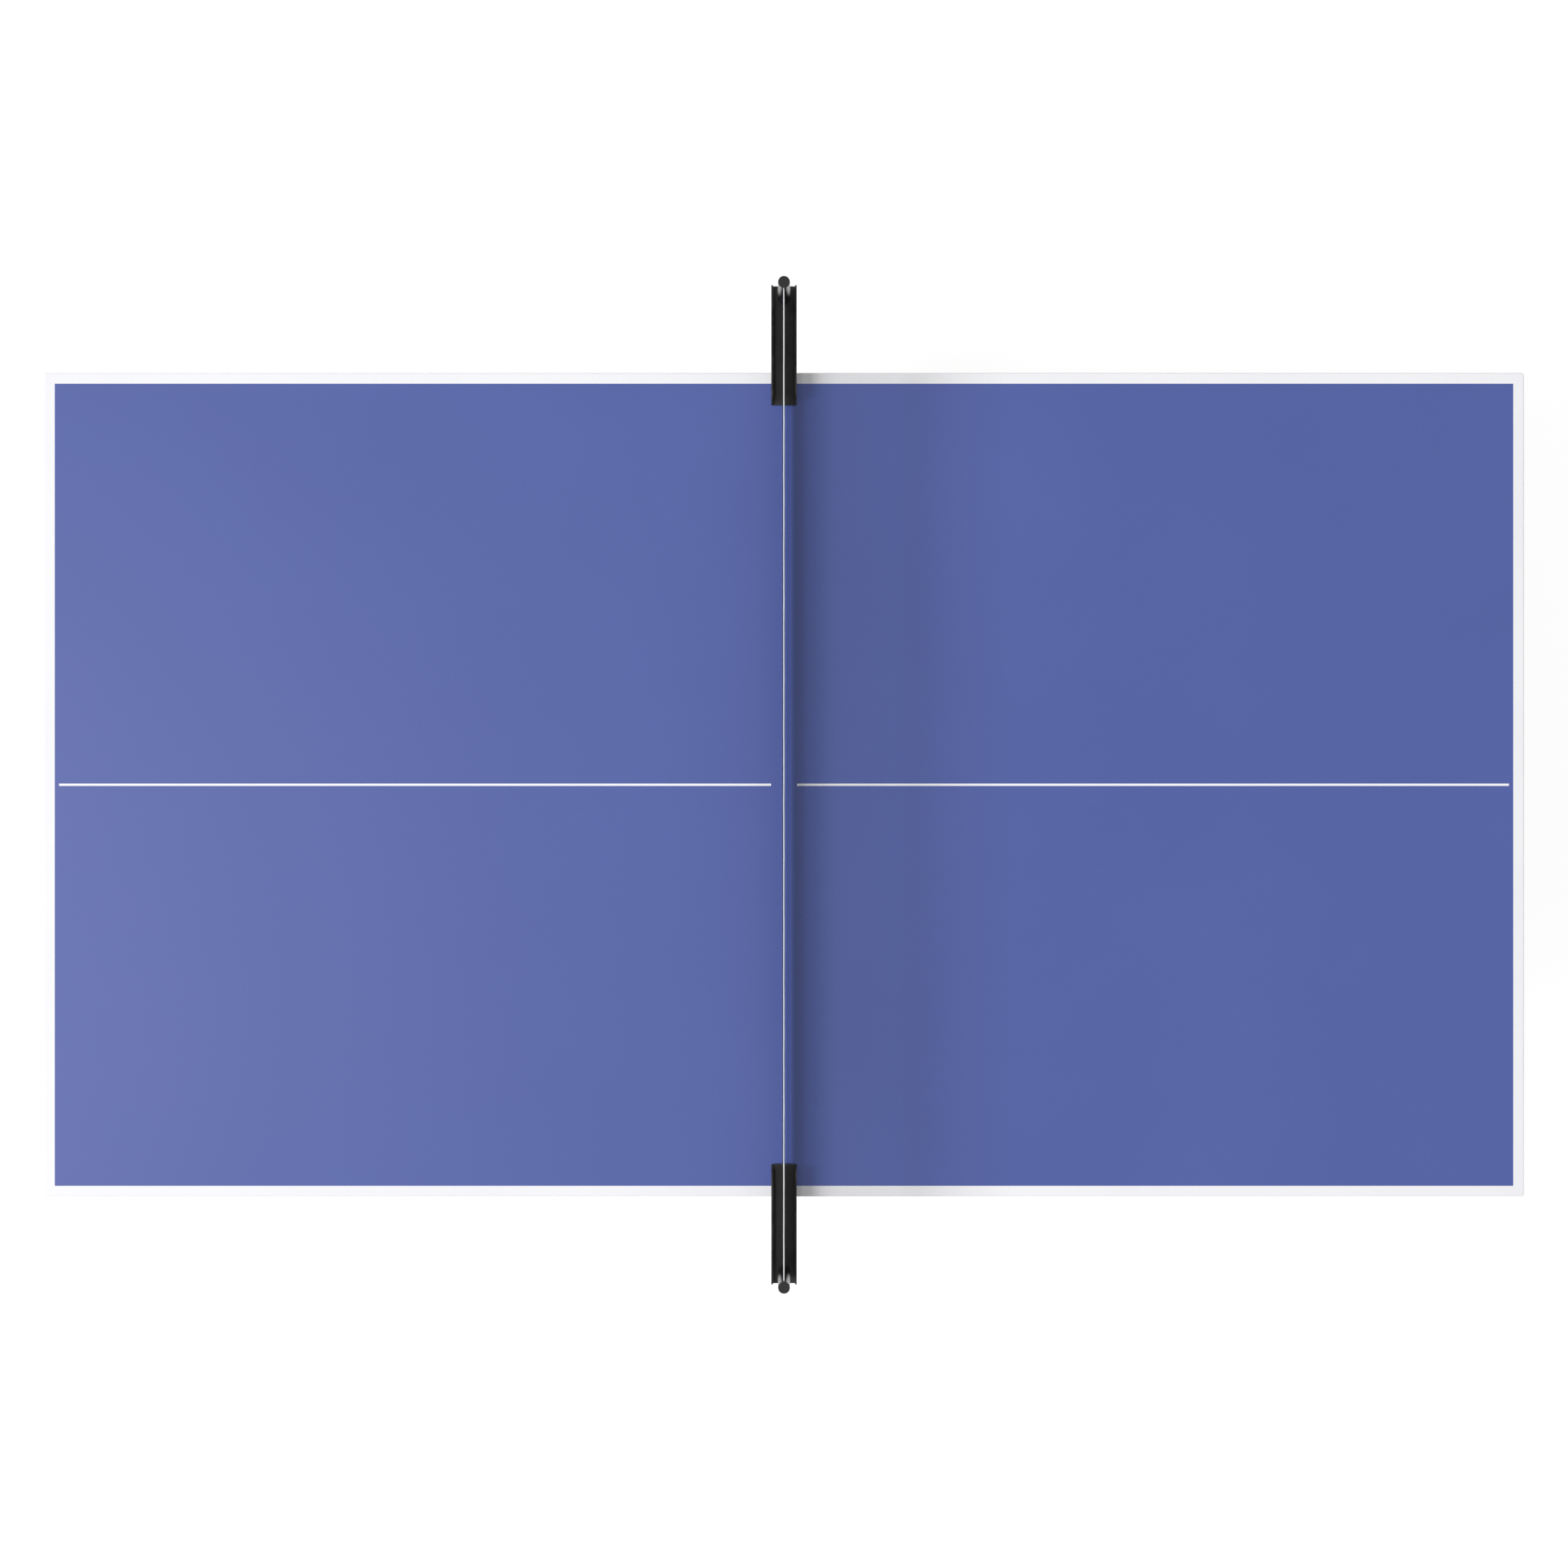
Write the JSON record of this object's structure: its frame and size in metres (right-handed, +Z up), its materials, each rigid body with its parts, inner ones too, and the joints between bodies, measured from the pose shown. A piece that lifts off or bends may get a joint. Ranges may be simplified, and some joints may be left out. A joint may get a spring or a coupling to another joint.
{
  "type": "table tennis table",
  "caption": "Folding table tennis table: blue board with white lines, net on slotted posts, halves that fold up over a wheeled trolley",
  "frame": {"origin": "on the floor under the middle of the net", "axes": "+X along the table to the right-hand half, +Y across it to the back, +Z up"},
  "size_m": [2.74, 1.844, 0.9215],
  "materials": {
    "blue_board": "matt rolled paint on fibreboard, white lines",
    "black_powder_coat": "fine textured powder coat",
    "zinc_steel": "zinc plated",
    "tyre_rubber": "matt moulded",
    "pad_rubber": "matt",
    "wheel_plastic": "moulded, fine grain",
    "black_plastic": "moulded, fine grain",
    "net_cord_black": "knotless polyester net",
    "white_tape": "woven cotton tape"
  },
  "bodies": {
    "trolley": {"trolley_uprights": "black_powder_coat", "trolley_base_tubes": "black_powder_coat", "trolley_upper_tubes": "black_powder_coat", "trolley_end_plugs": "black_plastic", "fold_link_plates": "black_powder_coat", "fold_pivot_bolts": "zinc_steel", "fold_stop_bumpers": "pad_rubber", "castor_kingpins": "zinc_steel", "trolley_base_rail_front": "black_powder_coat", "net_arm_front": "black_powder_coat", "trolley_base_rail_back": "black_powder_coat", "net_arm_back": "black_powder_coat", "net_bracket_pads": "pad_rubber", "net_post_caps": "black_plastic", "net_end_rods": "zinc_steel", "net_mesh": "net_cord_black", "net_tape": "white_tape", "net_cord": "white_tape", "net_bracket_front": "black_powder_coat", "net_post_front": "black_powder_coat", "net_bracket_back": "black_powder_coat", "net_post_back": "black_powder_coat"},
    "left_half": {"left_top": "blue_board", "left_side_rails": "black_powder_coat", "left_cross_rails": "black_powder_coat", "left_pivot_bushes": "black_plastic"},
    "left_leg_frame": {"left_legs": "black_powder_coat", "left_leg_crossbars": "black_powder_coat", "left_leg_link_plates": "black_powder_coat", "left_leg_plugs": "black_plastic", "left_leg_pivots": "zinc_steel"},
    "left_links": {"left_link_rods": "black_powder_coat"},
    "foot_left_front": {"levelling_foot_left_front": "black_plastic"},
    "castor_left_front": {"castor_fork_left_front": "zinc_steel"},
    "wheel_left_front": {"wheel_hub_left_front": "wheel_plastic", "tyre_left_front": "tyre_rubber"},
    "brake_left_front": {"brake_pedal_left_front": "wheel_plastic"},
    "foot_left_back": {"levelling_foot_left_back": "black_plastic"},
    "castor_left_back": {"castor_fork_left_back": "zinc_steel"},
    "wheel_left_back": {"wheel_hub_left_back": "wheel_plastic", "tyre_left_back": "tyre_rubber"},
    "right_half": {"right_top": "blue_board", "right_side_rails": "black_powder_coat", "right_cross_rails": "black_powder_coat", "right_pivot_bushes": "black_plastic"},
    "right_leg_frame": {"right_legs": "black_powder_coat", "right_leg_crossbars": "black_powder_coat", "right_leg_link_plates": "black_powder_coat", "right_leg_plugs": "black_plastic", "right_leg_pivots": "zinc_steel"},
    "right_links": {"right_link_rods": "black_powder_coat"},
    "foot_right_front": {"levelling_foot_right_front": "black_plastic"},
    "castor_right_front": {"castor_fork_right_front": "zinc_steel"},
    "wheel_right_front": {"wheel_hub_right_front": "wheel_plastic", "tyre_right_front": "tyre_rubber"},
    "brake_right_front": {"brake_pedal_right_front": "wheel_plastic"},
    "foot_right_back": {"levelling_foot_right_back": "black_plastic"},
    "castor_right_back": {"castor_fork_right_back": "zinc_steel"},
    "wheel_right_back": {"wheel_hub_right_back": "wheel_plastic", "tyre_right_back": "tyre_rubber"}
  },
  "joints": [
    {"name": "left_fold", "type": "hinge", "parent": "trolley", "child": "left_half", "pos_m": [-0.4, 0, 0.726], "axis": [0, 1, 0], "range_deg": [0, 90]},
    {"name": "left_leg_swing", "type": "hinge", "parent": "left_half", "child": "left_leg_frame", "pos_m": [-1.16, 0, 0.719], "axis": [0, -1, 0], "range_deg": [0, 90]},
    {"name": "left_link_swing", "type": "hinge", "parent": "trolley", "child": "left_links", "pos_m": [-0.445, 0, 0.681], "axis": [0, 1, 0], "range_deg": [0, 90]},
    {"name": "foot_screw_left_front", "type": "slide", "parent": "left_leg_frame", "child": "foot_left_front", "axis": [0, 0, -1], "range_m": [0, 0.02]},
    {"name": "castor_swivel_left_front", "type": "hinge", "parent": "trolley", "child": "castor_left_front", "pos_m": [-0.445, -0.6724, 0.133], "axis": [0, 0, 1], "continuous": true},
    {"name": "wheel_spin_left_front", "type": "hinge", "parent": "castor_left_front", "child": "wheel_left_front", "pos_m": [-0.41, -0.6724, 0.0625], "axis": [0, 1, 0], "continuous": true},
    {"name": "brake_press_left_front", "type": "hinge", "parent": "castor_left_front", "child": "brake_left_front", "pos_m": [-0.37105, -0.6724, 0.12483], "axis": [0, 1, 0], "range_deg": [0, 11.9]},
    {"name": "foot_screw_left_back", "type": "slide", "parent": "left_leg_frame", "child": "foot_left_back", "axis": [0, 0, -1], "range_m": [0, 0.02]},
    {"name": "castor_swivel_left_back", "type": "hinge", "parent": "trolley", "child": "castor_left_back", "pos_m": [-0.445, 0.6724, 0.133], "axis": [0, 0, 1], "continuous": true},
    {"name": "wheel_spin_left_back", "type": "hinge", "parent": "castor_left_back", "child": "wheel_left_back", "pos_m": [-0.41, 0.6724, 0.0625], "axis": [0, 1, 0], "continuous": true},
    {"name": "right_fold", "type": "hinge", "parent": "trolley", "child": "right_half", "pos_m": [0.4, 0, 0.726], "axis": [0, -1, 0], "range_deg": [0, 90]},
    {"name": "right_leg_swing", "type": "hinge", "parent": "right_half", "child": "right_leg_frame", "pos_m": [1.16, 0, 0.719], "axis": [0, 1, 0], "range_deg": [0, 90]},
    {"name": "right_link_swing", "type": "hinge", "parent": "trolley", "child": "right_links", "pos_m": [0.445, 0, 0.681], "axis": [0, -1, 0], "range_deg": [0, 90]},
    {"name": "foot_screw_right_front", "type": "slide", "parent": "right_leg_frame", "child": "foot_right_front", "axis": [0, 0, -1], "range_m": [0, 0.02]},
    {"name": "castor_swivel_right_front", "type": "hinge", "parent": "trolley", "child": "castor_right_front", "pos_m": [0.445, -0.6724, 0.133], "axis": [0, 0, 1], "continuous": true},
    {"name": "wheel_spin_right_front", "type": "hinge", "parent": "castor_right_front", "child": "wheel_right_front", "pos_m": [0.41, -0.6724, 0.0625], "axis": [0, 1, 0], "continuous": true},
    {"name": "brake_press_right_front", "type": "hinge", "parent": "castor_right_front", "child": "brake_right_front", "pos_m": [0.37105, -0.6724, 0.12483], "axis": [0, -1, 0], "range_deg": [0, 11.9]},
    {"name": "foot_screw_right_back", "type": "slide", "parent": "right_leg_frame", "child": "foot_right_back", "axis": [0, 0, -1], "range_m": [0, 0.02]},
    {"name": "castor_swivel_right_back", "type": "hinge", "parent": "trolley", "child": "castor_right_back", "pos_m": [0.445, 0.6724, 0.133], "axis": [0, 0, 1], "continuous": true},
    {"name": "wheel_spin_right_back", "type": "hinge", "parent": "castor_right_back", "child": "wheel_right_back", "pos_m": [0.41, 0.6724, 0.0625], "axis": [0, 1, 0], "continuous": true}
  ],
  "couplings": [
    {"joint": "left_leg_swing", "follows": "left_fold", "ratio": 1},
    {"joint": "left_link_swing", "follows": "left_fold", "ratio": 1},
    {"joint": "right_leg_swing", "follows": "right_fold", "ratio": 1},
    {"joint": "right_link_swing", "follows": "right_fold", "ratio": 1}
  ]
}
